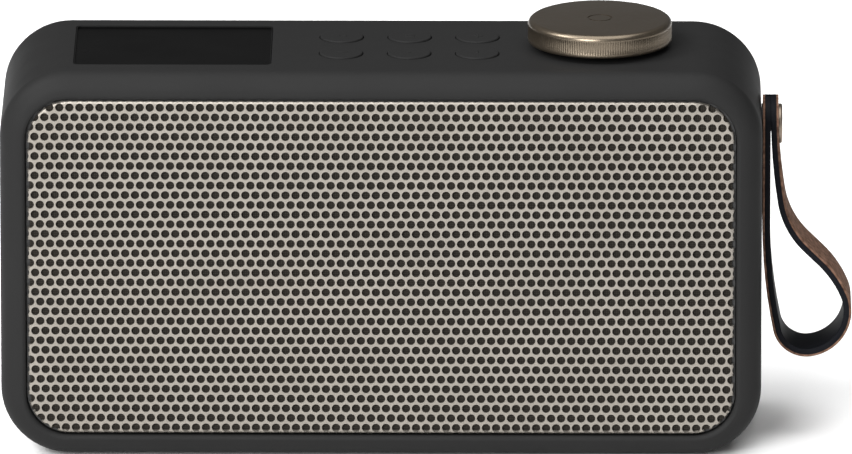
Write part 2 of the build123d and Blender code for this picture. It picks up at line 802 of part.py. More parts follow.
with BuildPart() as strap_nut:
    with BuildSketch(beside(side_x - wall - strap_nut_seat, control_line, strap_z)):
        Rectangle(strap_nut_side, strap_nut_side)
        Circle(strap_screw_radius + screw_gap, mode=Mode.SUBTRACT)
    extrude(amount=-strap_nut_thickness)
save(strap_nut, "strap_nut")

with BuildPart() as strap_screw:
    with BuildSketch(beside(strap_end_x, control_line, strap_z)):
        Circle(strap_head_radius)
    extrude(amount=strap_head_height)
    fillet(strap_screw.faces().sort_by(Axis.X)[-1].edges(), strap_head_height * 0.6)
    with BuildSketch(beside(strap_end_x, control_line, strap_z)):
        Circle(strap_screw_radius)
    extrude(amount=-(strap_end_x - side_x + wall + strap_nut_seat + strap_nut_thickness))
    with BuildSketch(beside(strap_end_x + strap_head_height, control_line, strap_z)):
        Rectangle(5.0, 1.0)
    extrude(amount=-0.4, mode=Mode.SUBTRACT)
save(strap_screw, "strap_screw")

# ---------------------------------------------------------------- aerial

fork_half = eye_half + rest_gap
fork_height = fork_half + ear_thickness
nut_thickness = 2.4
nut_radius = 5.5

with BuildPart() as aerial_mount:
    with BuildSketch(upright(rear_y)):
        with Locations((aerial_x, aerial_z - middle_z)):
            Circle(mount_radius)
            Circle(stud_radius + running_gap, mode=Mode.SUBTRACT)
    extrude(amount=-mount_thickness)
save(aerial_mount, "aerial_mount")

with BuildPart() as aerial_swivel:
    with BuildSketch(upright(disc_y)):
        with Locations((aerial_x, aerial_z - middle_z)):
            Circle(mount_radius - 1)
    extrude(amount=-disc_thickness)
    with BuildSketch(upright(disc_y)):
        with Locations((aerial_x, aerial_z - middle_z)):
            Circle(stud_radius)
    extrude(amount=disc_y - cover_inside_y + rest_gap + nut_thickness)
    # Two ears, above and below the aerial's eye
    with BuildSketch(Plane.XY.offset(aerial_z)):
        with Locations((aerial_x, mast_y)):
            Circle(eye_radius)
        with Locations((aerial_x, (mast_y + disc_y + disc_thickness) / 2)):
            Rectangle(2 * eye_radius, mast_y - disc_y - disc_thickness)
        with Locations((aerial_x, mast_y)):
            Circle(pin_radius + screw_gap / 2, mode=Mode.SUBTRACT)
    extrude(amount=fork_height, both=True)
    with BuildSketch(upright(disc_y + disc_thickness)):
        with Locations((aerial_x, aerial_z - middle_z)):
            Rectangle(4 * eye_radius, 2 * fork_half)
    extrude(amount=-(eye_room + 2 * eye_radius), mode=Mode.SUBTRACT)
save(aerial_swivel, "aerial_swivel")

with BuildPart() as aerial_pin:
    with BuildSketch(Plane.XY.offset(aerial_z)):
        with Locations((aerial_x, mast_y)):
            Circle(pin_radius)
    extrude(amount=fork_height, both=True)
save(aerial_pin, "aerial_pin")

with BuildPart() as aerial_nut:
    with BuildSketch(upright(cover_inside_y - rest_gap)):
        with Locations((aerial_x, aerial_z - middle_z)):
            RegularPolygon(nut_radius, 6)
            Circle(stud_radius + screw_gap, mode=Mode.SUBTRACT)
    extrude(amount=nut_thickness)
save(aerial_nut, "aerial_nut")

with BuildPart() as aerial_knuckle:
    with BuildSketch(Plane.XY.offset(aerial_z)):
        with Locations((aerial_x, mast_y)):
            Circle(eye_radius)
    extrude(amount=eye_half, both=True)
    with BuildSketch(beside(aerial_x, mast_y, aerial_z)):
        Circle(eye_half - fit_gap)
    extrude(amount=-neck_end)
    with BuildSketch(Plane.XY.offset(aerial_z)):
        with Locations((aerial_x, mast_y)):
            Circle(pin_radius + running_gap)
    extrude(amount=eye_half, both=True, mode=Mode.SUBTRACT)
save(aerial_knuckle, "aerial_knuckle")

# Tubes from the thickest to the thinnest, each sliding inside the one before it
tube_radius = mast_radius
tube_start = neck_end
for section in range(1, mast_sections + 1):
    tube_end = neck_end + mast_tube + (section - 1) * mast_step
    with BuildPart() as tube:
        with BuildSketch(beside(aerial_x - tube_start, mast_y, aerial_z)):
            Circle(tube_radius)
            if section < mast_sections:
                Circle(tube_radius - mast_wall, mode=Mode.SUBTRACT)
        extrude(amount=-(tube_end - tube_start))
        if section == 1:
            # Closed end that joins the knuckle
            with BuildSketch(beside(aerial_x - tube_start, mast_y, aerial_z)):
                Circle(tube_radius)
            extrude(amount=-mast_end)
        if section == mast_sections:
            # Rounded tip
            with BuildSketch(beside(aerial_x - tube_end, mast_y, aerial_z)):
                Circle(tip_radius)
            extrude(amount=-tip_length)
            fillet(tube.faces().sort_by(Axis.X)[0].edges(), tip_radius / 2)
    save(tube, f"aerial_section_{section}")
    tube_radius = tube_radius - mast_wall - mast_play
    tube_start = tube_start + mast_nest

# ---------------------------------------------------------------- boards and sockets

with BuildPart() as main_board:
    with BuildSketch(upright(board_y)):
        with Locations((board_x, 0)):
            Rectangle(main_board_width, main_board_height)
        with Locations(*board_posts):
            Circle(board_screw_radius + fit_gap, mode=Mode.SUBTRACT)
    extrude(amount=board_thickness)
save(main_board, "main_board")

with BuildPart() as radio_module:
    with BuildSketch(upright(board_y)):
        with Locations((board_x - 14, 14)):
            Rectangle(32, 24)
    extrude(amount=-3.2)
    chamfer(radio_module.faces().sort_by(Axis.Y)[-1].edges(), 0.4)
save(radio_module, "radio_module")

with BuildPart() as board_components:
    with BuildSketch(upright(board_y)):
        with Locations((board_x + 18, 14)):
            Rectangle(12, 12)
        with Locations((board_x + 18, -2)):
            Rectangle(8, 6)
    extrude(amount=-1.4)
    with BuildSketch(upright(board_y)):
        with Locations((board_x + 30, 10), (board_x + 30, -2)):
            Circle(3.0)
    extrude(amount=-7.0)
save(board_components, "board_components")

with BuildPart() as aux_socket:
    with BuildSketch(upright(board_y)):
        with Locations((jack_x, socket_z)):
            Rectangle(11, 9)
    extrude(amount=-(board_standoff - fit_gap))
    with BuildSketch(upright(board_y)):
        with Locations((jack_x, socket_z)):
            Circle(jack_nose_radius)
    extrude(amount=-(rear_y - 0.4 - board_y))
    with BuildSketch(upright(rear_y - 0.4)):
        with Locations((jack_x, socket_z)):
            Circle(jack_radius)
    extrude(amount=jack_depth, mode=Mode.SUBTRACT)
save(aux_socket, "aux_socket")

with BuildPart() as usb_socket:
    with BuildSketch(upright(board_y)):
        with Locations((usb_x, socket_z)):
            RectangleRounded(usb_width, usb_height, usb_height / 2 - 0.1)
    extrude(amount=-(rear_y - 0.4 - board_y))
    with BuildSketch(upright(rear_y - 0.4)):
        with Locations((usb_x, socket_z)):
            RectangleRounded(usb_width - 0.7, usb_height - 0.7, usb_height / 2 - 0.5)
    extrude(amount=8.0, mode=Mode.SUBTRACT)
    with BuildSketch(upright(rear_y - 8.4)):
        with Locations((usb_x, socket_z)):
            Rectangle(6.6, 0.7)
    extrude(amount=-7.0)
save(usb_socket, "usb_socket")

with BuildPart() as board_screws:
    with BuildSketch(Plane.XY.offset(display_board_z - board_thickness)):
        with Locations(*display_bosses):
            Circle(board_head_radius)
    extrude(amount=-board_head_height)
    with BuildSketch(Plane.XY.offset(display_board_z - board_thickness)):
        with Locations(*display_bosses):
            Circle(board_screw_radius)
    extrude(amount=board_screw_length)
    with BuildSketch(Plane.XY.offset(keypad_z - board_thickness)):
        with Locations(*keypad_bosses):
            Circle(board_head_radius)
    extrude(amount=-board_head_height)
    with BuildSketch(Plane.XY.offset(keypad_z - board_thickness)):
        with Locations(*keypad_bosses):
            Circle(board_screw_radius)
    extrude(amount=board_screw_length)
    with BuildSketch(upright(board_y - board_thickness)):
        with Locations(*board_posts):
            Circle(board_head_radius)
    extrude(amount=board_head_height)
    with BuildSketch(upright(board_y - board_thickness)):
        with Locations(*board_posts):
            Circle(board_screw_radius)
    extrude(amount=-board_screw_length)
save(board_screws, "board_screws")

# ---------------------------------------------------------------- battery

contact_room = 2.0          # for the springs at each end of the cells
cell_spacing = 2 * cell_radius + 0.8
tray_length = cell_length + 2 * tray_wall + 2 * contact_room
tray_height = cell_spacing + 2 * cell_radius + 2 * tray_wall + 1.2
tray_x = post_x - post_radius - 1.0 - tray_length / 2
tray_z = -inner_height / 2 + 4.0 + tray_height / 2      # from the case's middle height
cell_y = cover_inside_y - 0.8 - cell_radius
tray_back_y = cell_y + 2.0
tray_front_y = cell_y - cell_radius - rest_gap - tray_wall
cell_spots = [(tray_x, tray_z + s * cell_spacing / 2) for s in (-1, 1)]

with BuildPart() as battery_tray:
    with BuildSketch(upright(tray_back_y)):
        with Locations((tray_x, tray_z)):
            Rectangle(tray_length, tray_height)
    extrude(amount=tray_back_y - tray_front_y)
    for cx, cz in cell_spots:
        with BuildSketch(beside(cx - cell_length / 2 - fit_gap, cell_y, middle_z + cz)):
            Circle(cell_radius + rest_gap)
            with Locations((cell_radius, 0)):
                Rectangle(2 * cell_radius, 2 * cell_radius + 2 * rest_gap)
        extrude(amount=cell_length + 2 * fit_gap, mode=Mode.SUBTRACT)
save(battery_tray, "battery_tray")

with BuildPart() as battery_cells:
    for cx, cz in cell_spots:
        with BuildSketch(beside(cx - cell_length / 2, cell_y, middle_z + cz)):
            Circle(cell_radius)
        extrude(amount=cell_length - 1.0)
        with BuildSketch(beside(cx + cell_length / 2 - 1.0, cell_y, middle_z + cz)):
            Circle(3.0)
        extrude(amount=1.0)
save(battery_cells, "battery_cells")

# ---------------------------------------------------------------- pad

with BuildPart() as base_pad:
    with BuildSketch(Plane.XY):
        RectangleRounded(pad_length, pad_width, 6.0)
    extrude(amount=pad_stand + pad_seat)
    chamfer(base_pad.faces().sort_by(Axis.Z)[0].edges(), 0.3)
save(base_pad, "base_pad")
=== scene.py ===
import math

import bpy
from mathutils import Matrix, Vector


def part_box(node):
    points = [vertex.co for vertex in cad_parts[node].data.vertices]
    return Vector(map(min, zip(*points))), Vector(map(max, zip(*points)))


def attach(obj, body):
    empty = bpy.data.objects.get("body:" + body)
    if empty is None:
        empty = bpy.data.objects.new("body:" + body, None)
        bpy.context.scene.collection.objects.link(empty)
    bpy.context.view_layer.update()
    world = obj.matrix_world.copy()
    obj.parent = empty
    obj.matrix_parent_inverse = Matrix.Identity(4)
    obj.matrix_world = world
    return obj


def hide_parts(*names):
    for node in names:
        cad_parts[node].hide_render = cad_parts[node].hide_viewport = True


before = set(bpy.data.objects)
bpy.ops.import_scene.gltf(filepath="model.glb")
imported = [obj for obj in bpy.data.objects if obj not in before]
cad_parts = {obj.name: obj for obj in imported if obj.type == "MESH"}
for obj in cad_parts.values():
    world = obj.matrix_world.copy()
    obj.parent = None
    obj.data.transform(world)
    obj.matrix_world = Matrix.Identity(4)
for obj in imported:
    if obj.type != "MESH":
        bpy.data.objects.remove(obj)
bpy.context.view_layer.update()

# ------------------------------------------------------------------ table, light and view
# The radio stands on a plain pale table top in soft studio light: a wide soft box overhead,
# one in front, and a smaller one to the left that picks out the edges of the metal.
# It is seen through a long lens from a little above its front.

mm = 0.001


def finish_of(name, base, roughness, metallic=0.0, specular=0.5):
    """A new material with these plain values set on its shader."""
    material = bpy.data.materials.new(name)
    material.use_nodes = True
    shader = material.node_tree.nodes["Principled BSDF"]
    shader.inputs["Base Color"].default_value = (*base, 1)
    shader.inputs["Roughness"].default_value = roughness
    shader.inputs["Metallic"].default_value = metallic
    shader.inputs["Specular IOR Level"].default_value = specular
    return material


def noise_in(material, scale, detail=2.0, stretch=(1, 1, 1)):
    """A noise texture in the piece's own place; scale is in waves per metre."""
    tree = material.node_tree
    place = tree.nodes.new("ShaderNodeTexCoord")
    spread = tree.nodes.new("ShaderNodeMapping")
    noise = tree.nodes.new("ShaderNodeTexNoise")
    spread.inputs["Scale"].default_value = stretch
    noise.inputs["Scale"].default_value = scale
    noise.inputs["Detail"].default_value = detail
    tree.links.new(place.outputs["Object"], spread.inputs["Vector"])
    tree.links.new(spread.outputs["Vector"], noise.inputs["Vector"])
    return noise


def relief(material, texture_output, depth, strength=1.0):
    """Adds a texture's relief on top of any relief that the material already has."""
    tree = material.node_tree
    shader = tree.nodes["Principled BSDF"]
    bump = tree.nodes.new("ShaderNodeBump")
    bump.inputs["Strength"].default_value = strength
    bump.inputs["Distance"].default_value = depth
    tree.links.new(texture_output, bump.inputs["Height"])
    for link in list(shader.inputs["Normal"].links):
        tree.links.new(link.from_socket, bump.inputs["Normal"])
    tree.links.new(bump.outputs["Normal"], shader.inputs["Normal"])


def start_piece():
    """Leaves edit mode and selects nothing, so that the next operator acts on one piece only."""
    if bpy.context.object and bpy.context.object.mode != "OBJECT":
        bpy.ops.object.mode_set(mode="OBJECT")
    bpy.ops.object.select_all(action="DESELECT")


view_rise = math.radians(15.9)
view_turn = math.radians(0.42)
view_back = Vector((
    math.sin(view_turn) * math.cos(view_rise),
    -math.cos(view_turn) * math.cos(view_rise),
    math.sin(view_rise),
))
housing_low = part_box("housing")[0]
view_aim = Vector((11.25 * mm, housing_low.y, 60.95 * mm))
view_distance = 5.024
lens_length = 852               # of a lens on a 36 mm wide sensor, in mm
radio_middle = Vector((0, 0, 0.05))

start_piece()
bpy.ops.object.camera_add(
    location=view_aim + view_back * view_distance,
    rotation=(-view_back).to_track_quat("-Z", "Y").to_euler(),
)
camera = bpy.context.object
camera.data.lens = lens_length
camera.data.sensor_width = 36
camera.data.clip_end = 20
bpy.context.scene.camera = camera
bpy.context.scene.view_settings.view_transform = "Standard"

world = bpy.data.worlds.new("studio")
bpy.context.scene.world = world
world.use_nodes = True
world.node_tree.nodes["Background"].inputs["Color"].default_value = (1, 1, 1, 1)
world.node_tree.nodes["Background"].inputs["Strength"].default_value = 0.16


def soft_box(name, place, size, power):
    """A square area light, in metres and watts, that faces the middle of the radio."""
    start_piece()
    bpy.ops.object.light_add(type="AREA", location=place)
    light = bpy.context.object
    light.name = name
    towards_radio = radio_middle - Vector(place)
    light.rotation_euler = towards_radio.to_track_quat("-Z", "Y").to_euler()
    light.data.size = size
    light.data.energy = power


soft_box("overhead_light", (0.05, -0.3, 1.9), 2.1, 49)
soft_box("front_light", (-0.68, -1.92, 0.92), 1.0, 66)
soft_box("left_light", (-1.25, -0.35, 1.45), 0.8, 32)

start_piece()
bpy.ops.mesh.primitive_plane_add(size=8)
table = bpy.context.object
table.name = "table_top"
table_paint = finish_of("pale_table", (0.9, 0.9, 0.9), 0.8, specular=0.2)
relief(table_paint, noise_in(table_paint, 900).outputs["Fac"], 0.02 * mm)
table.data.materials.append(table_paint)

# ------------------------------------------------------------------ case
# Two mouldings of near-black plastic, the housing with the rim around the grille and the
# rear cover behind it. Both are sprayed with a matte soft-touch lacquer that has a very fine
# grain, is a little smoother in places, and shows almost no reflections.


def colour(red, green, blue):
    """A colour written as on a paint chip, 0 to 255, as the linear values that shaders use."""
    chip = [c / 255 for c in (red, green, blue)]
    return tuple(c / 12.92 if c <= 0.04045 else ((c + 0.055) / 1.055) ** 2.4 for c in chip)


def shade_between(material, low, high, scale, socket="Base Color", detail=3.0, stretch=(1, 1, 1)):
    """Lets a colour, or a value such as roughness, wander softly between two ends."""
    tree = material.node_tree
    ramp = tree.nodes.new("ShaderNodeValToRGB")
    ends = [c if isinstance(c, tuple) else (c, c, c) for c in (low, high)]
    ramp.color_ramp.elements[0].position = 0.3
    ramp.color_ramp.elements[1].position = 0.7
    ramp.color_ramp.elements[0].color = (*ends[0], 1)
    ramp.color_ramp.elements[1].color = (*ends[1], 1)
    noise = noise_in(material, scale, detail, stretch)
    tree.links.new(noise.outputs["Fac"], ramp.inputs["Fac"])
    tree.links.new(ramp.outputs["Color"], tree.nodes["Principled BSDF"].inputs[socket])


def dress(material, *names):
    """Gives CAD nodes their finish."""
    for name in names:
        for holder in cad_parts[name].material_slots:
            holder.material = material


soft_touch = finish_of("soft_touch_lacquer", colour(28, 28, 28), 0.62, specular=0.08)
shade_between(soft_touch, colour(27, 27, 27), colour(28, 28, 28), 26)
shade_between(soft_touch, 0.56, 0.66, 40, socket="Roughness")
relief(soft_touch, noise_in(soft_touch, 5200, 1.0).outputs["Fac"], 0.012 * mm, 0.6)
relief(soft_touch, noise_in(soft_touch, 70, 1.0).outputs["Fac"], 0.03 * mm, 0.4)
dress(soft_touch, "housing", "rear_cover")

# ------------------------------------------------------------------ punched grille
# One aluminium sheet punched with round holes in staggered rows, cut to a rounded
# rectangle straight through the holes, with its rim rolled back a little. Satin warm-grey
# lacquer. One six-sided cell with its hole is made, and repeated over the whole sheet.

hole_pitch = 2.5 * mm
row_pitch = 2.513 * mm
hole_radius = 1.06 * mm
hole_corners = 16
sheet_thickness = 0.6 * mm
first_row = 1.66 * mm           # from the top edge down to the first full row
grille_low, grille_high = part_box("grille_plate")
grille_corner = 10.3 * mm
half_width = (grille_high.x - grille_low.x) / 2
half_height = (grille_high.z - grille_low.z) / 2
grille_middle = (grille_low + grille_high) / 2
row_cells = 74
row_pairs = 18
rim_radius = 0.6 * mm
rim_drop = 0.55 * mm            # how far back the rim is rolled

start_piece()
bpy.ops.mesh.primitive_circle_add(
    vertices=hole_corners, radius=hole_radius, fill_type="NOTHING", rotation=(math.pi / 2, 0, 0)
)
grille = bpy.context.object
grille.name = "punched_grille"
bpy.ops.object.transform_apply()
bpy.ops.object.mode_set(mode="EDIT")
bpy.ops.mesh.select_all(action="DESELECT")
bpy.ops.mesh.primitive_circle_add(
    vertices=6, radius=hole_pitch / math.sqrt(3), fill_type="NOTHING", rotation=(math.pi / 2, 0, 0)
)
bpy.ops.transform.resize(value=(1, 1, 2 / math.sqrt(3) * row_pitch / hole_pitch))
bpy.ops.mesh.select_all(action="SELECT")
bpy.ops.mesh.bridge_edge_loops()
bpy.ops.object.mode_set(mode="OBJECT")


def repeat(piece, count, step):
    """An array modifier, applied at once, whose copies are joined where they touch."""
    array = piece.modifiers.new("repeat", "ARRAY")
    array.count = count
    array.use_relative_offset = False
    array.use_constant_offset = True
    array.constant_offset_displace = step
    array.use_merge_vertices = True
    array.merge_threshold = 0.02 * mm
    bpy.ops.object.modifier_apply(modifier=array.name)


repeat(grille, row_cells, (hole_pitch, 0, 0))
repeat(grille, 2, (hole_pitch / 2, 0, -row_pitch))
repeat(grille, row_pairs, (0, 0, -2 * row_pitch))
grille.location = (
    grille_middle.x - (row_cells - 1) / 2 * hole_pitch,
    grille_low.y,
    grille_high.z - first_row + row_pitch,
)
bpy.ops.object.transform_apply()


def trim_to_outline(inset, clear):
    """Cuts the sheet along the rounded outline, or only scores it there."""
    for side_x in (-1, 1):
        for side_z in (-1, 1):
            for degrees in range(0, 91, 15):
                angle = math.radians(degrees)
                outward = Vector((side_x * math.cos(angle), 0, side_z * math.sin(angle)))
                centre = grille_middle + Vector((
                    side_x * (half_width - grille_corner), 0, side_z * (half_height - grille_corner)
                ))
                bpy.ops.mesh.select_all(action="SELECT")
                bpy.ops.mesh.bisect(
                    plane_co=centre + outward * (grille_corner - inset),
                    plane_no=outward,
                    clear_outer=clear,
                )


bpy.ops.object.mode_set(mode="EDIT")
trim_to_outline(0, True)
for share in (0.3, 1.0):
    trim_to_outline(rim_radius * share, False)
bpy.ops.mesh.select_all(action="SELECT")
bpy.ops.mesh.remove_doubles(threshold=0.01 * mm)
bpy.ops.mesh.normals_make_consistent(inside=False)
bpy.ops.object.mode_set(mode="OBJECT")

# The rim is rolled back along a quarter round
for vertex in grille.data.vertices:
    reach_x = abs(vertex.co.x - grille_middle.x) - half_width + grille_corner
    reach_z = abs(vertex.co.z - grille_middle.z) - half_height + grille_corner
    outside = math.hypot(max(reach_x, 0), max(reach_z, 0)) + min(max(reach_x, reach_z), 0)
    inward = max(0.0, grille_corner - outside)
    if inward < rim_radius:
        drop = rim_radius - math.sqrt(rim_radius**2 - (rim_radius - inward) ** 2)
        vertex.co.y += min(drop, rim_drop)

if grille.data.polygons[0].normal.y > 0:
    grille.data.flip_normals()
thickness = grille.modifiers.new("sheet", "SOLIDIFY")
thickness.thickness = sheet_thickness
thickness.offset = -1
bpy.ops.object.modifier_apply(modifier=thickness.name)
bpy.ops.object.shade_smooth_by_angle(angle=math.radians(40))

grille_lacquer = finish_of("grille_lacquer", colour(126, 121, 114), 0.42, metallic=0.8)
shade_between(grille_lacquer, colour(123, 118, 111), colour(129, 124, 117), 90)
shade_between(grille_lacquer, 0.38, 0.48, 300, socket="Roughness")
relief(grille_lacquer, noise_in(grille_lacquer, 4200, 1.0).outputs["Fac"], 0.01 * mm, 0.5)
grille.data.materials.append(grille_lacquer)
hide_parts("grille_plate")
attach(grille, "case")

# ------------------------------------------------------------------ acoustic cloth
# A fine dark warm-grey cloth, glued flat over the whole baffle behind the grille. It keeps
# dust out and hides the drivers. Plain weave, two threads to the millimetre each way.

thread_pitch = 0.5 * mm
wave_at_scale_one = 0.314       # a wave texture of scale 1 repeats at this distance, in metres
cloth_corner = 9.0 * mm
glue_margin = 1.2 * mm
cloth_weight = 0.35 * mm
cloth_low, cloth_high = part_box("grille_cloth")
cloth_middle = (cloth_low + cloth_high) / 2
cloth_size = cloth_high - cloth_low

start_piece()
bpy.ops.mesh.primitive_plane_add(size=1, location=cloth_middle, rotation=(math.pi / 2, 0, 0))
cloth = bpy.context.object
cloth.name = "acoustic_cloth"
cloth.scale = (cloth_size.x, cloth_size.z, 1)
bpy.ops.object.transform_apply()
bpy.ops.object.mode_set(mode="EDIT")
bpy.ops.mesh.select_all(action="SELECT")
bpy.ops.mesh.bevel(offset=cloth_corner, segments=8, affect="VERTICES")
bpy.ops.mesh.inset(thickness=glue_margin)
bpy.ops.object.mode_set(mode="OBJECT")
weight = cloth.modifiers.new("weight", "SOLIDIFY")
weight.thickness = cloth_weight
weight.offset = 0
bpy.ops.object.modifier_apply(modifier=weight.name)

cloth_weave = finish_of("cloth_weave", colour(46, 43, 39), 0.95, specular=0.1)
tree = cloth_weave.node_tree
place = tree.nodes.new("ShaderNodeTexCoord")
threads = []
for direction in ("X", "Z"):
    wave = tree.nodes.new("ShaderNodeTexWave")
    wave.bands_direction = direction
    wave.inputs["Scale"].default_value = wave_at_scale_one / thread_pitch
    wave.inputs["Distortion"].default_value = 0.6
    tree.links.new(place.outputs["Object"], wave.inputs["Vector"])
    threads.append(wave)
crossing = tree.nodes.new("ShaderNodeMath")
crossing.operation = "MULTIPLY"
tree.links.new(threads[0].outputs["Fac"], crossing.inputs[0])
tree.links.new(threads[1].outputs["Fac"], crossing.inputs[1])
yarn = tree.nodes.new("ShaderNodeValToRGB")
yarn.color_ramp.elements[0].color = (*colour(30, 28, 25), 1)
yarn.color_ramp.elements[1].color = (*colour(58, 54, 49), 1)
tree.links.new(crossing.outputs[0], yarn.inputs["Fac"])
tree.links.new(yarn.outputs["Color"], tree.nodes["Principled BSDF"].inputs["Base Color"])
relief(cloth_weave, crossing.outputs[0], 0.08 * mm, 0.7)
cloth.data.materials.append(cloth_weave)
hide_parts("grille_cloth")
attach(cloth, "case")

# ------------------------------------------------------------------ display
# A plate of smoked acrylic let into the top half a millimetre deep, ringed by a thin near-black
# band that is painted shade of the recess wall, and the dark display under it. Switched off, it is only a
# darker field.

smoked = finish_of("smoked_acrylic", colour(7, 7, 7), 0.3, specular=0.02)
shade_between(smoked, 0.27, 0.34, 60, socket="Roughness")
relief(smoked, noise_in(smoked, 120, 1.0).outputs["Fac"], 0.004 * mm, 0.5)
dress(smoked, "display_window")

window_low, window_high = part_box("display_window")
window_middle = (window_low + window_high) / 2
window_size = window_high - window_low
shade_ring_lift = 0.02 * mm         # its underside clears the window
shade_ring_corner = 1.3 * mm
shade_ring_width = 0.3 * mm
shade_ring_height = 0.4 * mm
shade_ring_round = 0.08 * mm

# Painted shade: a thin near-black ring laid on the window's edge stands for the shade on the wall of its
# recess
start_piece()
bpy.ops.mesh.primitive_plane_add(
    size=1, location=(window_middle.x, window_middle.y, window_high.z + shade_ring_lift)
)
painted_shade_ring = bpy.context.object
painted_shade_ring.name = "window_painted_shade_ring"
painted_shade_ring.scale = (window_size.x, window_size.y, 1)
bpy.ops.object.transform_apply()
bpy.ops.object.mode_set(mode="EDIT")
bpy.ops.mesh.select_all(action="SELECT")
bpy.ops.mesh.bevel(offset=shade_ring_corner, segments=6, affect="VERTICES")
bpy.ops.mesh.inset(thickness=shade_ring_width)
bpy.ops.mesh.delete(type="ONLY_FACE")
bpy.ops.object.mode_set(mode="OBJECT")
shade_ring_wall = painted_shade_ring.modifiers.new("wall", "SOLIDIFY")
shade_ring_wall.thickness = shade_ring_height
shade_ring_wall.offset = 1
bpy.ops.object.modifier_apply(modifier=shade_ring_wall.name)
shade_ring_edge = painted_shade_ring.modifiers.new("edge", "BEVEL")
shade_ring_edge.width = shade_ring_round
shade_ring_edge.segments = 2
bpy.ops.object.modifier_apply(modifier=shade_ring_edge.name)
bpy.ops.object.shade_smooth_by_angle(angle=math.radians(50))
# The ring's near-black colour is painted shade of the recess wall
painted_recess_shade = finish_of("painted_recess_shade", colour(9, 9, 9), 0.7, specular=0.1)
shade_between(painted_recess_shade, colour(7, 7, 7), colour(11, 11, 11), 400)
relief(painted_recess_shade, noise_in(painted_recess_shade, 1500, 2.0).outputs["Fac"], 0.01 * mm, 0.5)
painted_shade_ring.data.materials.append(painted_recess_shade)
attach(painted_shade_ring, "case")

display_glass = finish_of("display_glass", colour(20, 22, 21), 0.15)
shade_between(display_glass, colour(18, 20, 19), colour(24, 27, 25), 800)
dress(display_glass, "display_module")

# ------------------------------------------------------------------ buttons
# Six round caps in the same lacquer as the case, standing a little proud of it, each with
# a small raised mark that a fingertip can tell apart.

dress(soft_touch, *[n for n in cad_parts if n.startswith("button_")])

mark_height = 0.12 * mm
mark_round = 0.08 * mm


def raised_mark(cap, name, strokes):
    """Low bars on a cap; each is its middle, across and back, and its two sizes, in mm."""
    low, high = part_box(cap)
    middle = (low + high) / 2
    bars = []
    for across, back, length, width in strokes:
        start_piece()
        bpy.ops.mesh.primitive_cube_add(
            size=1, location=(middle.x + across * mm, middle.y + back * mm, high.z)
        )
        bar = bpy.context.object
        bar.scale = (length * mm, width * mm, 2 * mark_height)
        bpy.ops.object.transform_apply()
        bpy.ops.object.mode_set(mode="EDIT")
        bpy.ops.mesh.select_all(action="SELECT")
        bpy.ops.mesh.bevel(offset=mark_round, segments=2)
        bpy.ops.object.mode_set(mode="OBJECT")
        bars.append(bar)
    start_piece()
    for bar in bars:
        bar.select_set(True)
    bpy.context.view_layer.objects.active = bars[0]
    if len(bars) > 1:
        bpy.ops.object.join()
    mark = bpy.context.object
    mark.name = name
    bpy.ops.object.shade_smooth_by_angle(angle=math.radians(50))
    mark.data.materials.append(soft_touch)
    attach(mark, cap)


raised_mark("button_front_left", "mark_minus", [(0, 0, 3.4, 0.6)])
raised_mark("button_front_middle", "mark_dot", [(0, 0, 0.9, 0.9)])
raised_mark("button_front_right", "mark_tick", [(0, 0, 0.6, 2.6)])
raised_mark("button_back_left", "mark_two_dots", [(-0.9, 0, 0.8, 0.8), (0.9, 0, 0.8, 0.8)])
raised_mark("button_back_middle", "mark_two_bars", [(0, 0.7, 2.6, 0.5), (0, -0.7, 2.6, 0.5)])
raised_mark("button_back_right", "mark_plus", [(0, 0, 2.8, 0.6), (0, 1.0, 0.6, 1.4), (0, -1.0, 0.6, 1.4)])

# ------------------------------------------------------------------ knob
# Turned from bar, anodised bronze: a flat top with a rounded edge, a side with a fine
# straight knurl above a smooth band, and a hollow underneath for its plastic insert.
# A plain turned ring marks the middle of the top.

knob_low, knob_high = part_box("knob")
knob_middle = (knob_low + knob_high) / 2
knob_radius = (knob_high.x - knob_low.x) / 2
knob_height = knob_high.z - knob_low.z
knob_edge = 1.5 * mm
knob_lower_edge = 0.45 * mm
knob_wall = 2.1 * mm
knob_top_thickness = 1.6 * mm
ring_outer = 3.1 * mm
ring_width = 0.45 * mm
ring_depth = 0.16 * mm
knurl_ridges = 180
knurl_depth = 0.14 * mm
knurl_run_out = 0.2 * mm
knurl_from = knob_low.z + 1.0 * mm
knurl_to = knob_high.z - knob_edge - 0.05 * mm

start_piece()
bpy.ops.mesh.primitive_cylinder_add(
    vertices=4 * knurl_ridges, radius=knob_radius, depth=knob_height, location=knob_middle
)
knob = bpy.context.object
knob.name = "turned_knob"
bpy.ops.object.transform_apply()


def select_no_parts(piece):
    """Leaves edit mode with no vertex, edge or face of the piece selected."""
    if piece.mode == "EDIT":
        bpy.ops.object.mode_set(mode="OBJECT")
    for part in (piece.data.vertices, piece.data.edges, piece.data.polygons):
        for item in part:
            item.select = False


def select_faces(piece, wanted):
    """Selects the faces, by their middle and normal, that the next operator is for."""
    select_no_parts(piece)
    for face in piece.data.polygons:
        face.select = wanted(face.center, face.normal)
    bpy.ops.object.mode_set(mode="EDIT")
    bpy.ops.mesh.select_mode(type="FACE")


# Hollow underside
select_faces(knob, lambda at, normal: normal.z < -0.9)
hollow = (0, 0, knob_height - knob_top_thickness)
bpy.ops.mesh.inset(thickness=knob_wall)
bpy.ops.mesh.extrude_region_move(TRANSFORM_OT_translate={"value": hollow})
# Turned ring in the top
select_faces(knob, lambda at, normal: normal.z > 0.9 and at.z > knob_high.z - 0.1 * mm)
bpy.ops.mesh.inset(thickness=knob_radius - ring_outer)
bpy.ops.mesh.inset(thickness=ring_width)
select_faces(
    knob,
    lambda at, normal: normal.z > 0.9
    and at.z > knob_high.z - 0.1 * mm
    and 2.6 * mm < math.hypot(at.x - knob_middle.x, at.y - knob_middle.y) < 3.2 * mm,
)
bpy.ops.mesh.extrude_region_move(TRANSFORM_OT_translate={"value": (0, 0, -ring_depth)})
bpy.ops.mesh.select_mode(type="EDGE")
bpy.ops.object.mode_set(mode="OBJECT")


